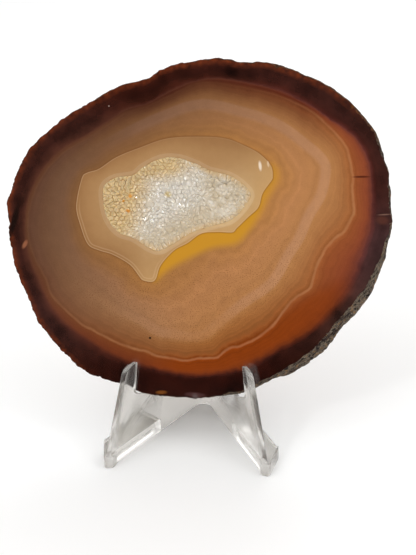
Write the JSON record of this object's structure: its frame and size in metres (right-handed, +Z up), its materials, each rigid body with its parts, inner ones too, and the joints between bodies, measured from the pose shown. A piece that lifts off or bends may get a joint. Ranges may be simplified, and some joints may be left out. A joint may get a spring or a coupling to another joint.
{
  "type": "agate slice",
  "caption": "Polished agate slice with a crystal-lined pocket, leaning in a clear V-shaped display easel.",
  "frame": {"origin": "middle of the whole object's outline seen from above, on the surface that the easel stands on", "axes": "+Z up, -Y out of the polished face towards the viewer, +X to the viewer's right"},
  "size_m": [0.0994, 0.0408, 0.0993],
  "materials": {
    "agate": "polished, banded brown, tan and cream",
    "quartz": "small glassy crystals",
    "clear_plastic": "clear, smooth moulded"
  },
  "bodies": {
    "root": {"agate_slice": "agate", "druzy_crust": "quartz", "display_stand": "clear_plastic"}
  },
  "joints": []
}
